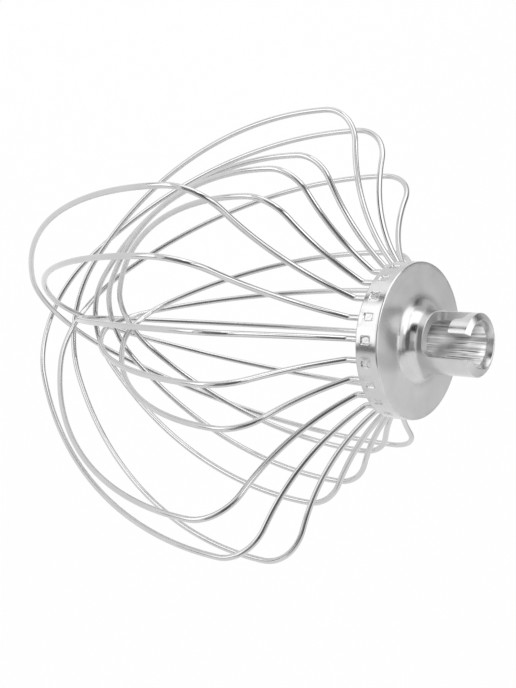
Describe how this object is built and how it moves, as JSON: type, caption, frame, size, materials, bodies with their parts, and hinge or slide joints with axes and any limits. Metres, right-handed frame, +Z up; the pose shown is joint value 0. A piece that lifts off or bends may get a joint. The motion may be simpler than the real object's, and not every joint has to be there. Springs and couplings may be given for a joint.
{
  "type": "stand mixer wire whisk",
  "caption": "Balloon whisk for a stand mixer: nested bent steel wire loops staked into a round hub, whose bored socket locks on the drive shaft with a bayonet slot.",
  "frame": {"origin": "on the hub's axis, in the plane of the disc face that the socket stands on", "axes": "+Z up the hub's axis and out of the socket mouth, as the whisk hangs from a mixer; -Y towards the middle of the bayonet slot's entry"},
  "size_m": [0.1478, 0.1406, 0.1868],
  "materials": {
    "hub_aluminium": "turned and polished",
    "wire_steel": "polished stainless"
  },
  "bodies": {
    "root": {"hub_disc": "hub_aluminium", "hub_socket": "hub_aluminium", "wire_loop_01": "wire_steel", "wire_loop_02": "wire_steel", "wire_loop_03": "wire_steel", "wire_loop_04": "wire_steel", "wire_loop_05": "wire_steel", "wire_loop_06": "wire_steel", "wire_loop_07": "wire_steel", "wire_loop_08": "wire_steel", "wire_loop_09": "wire_steel", "wire_loop_10": "wire_steel", "wire_loop_11": "wire_steel"}
  },
  "joints": []
}
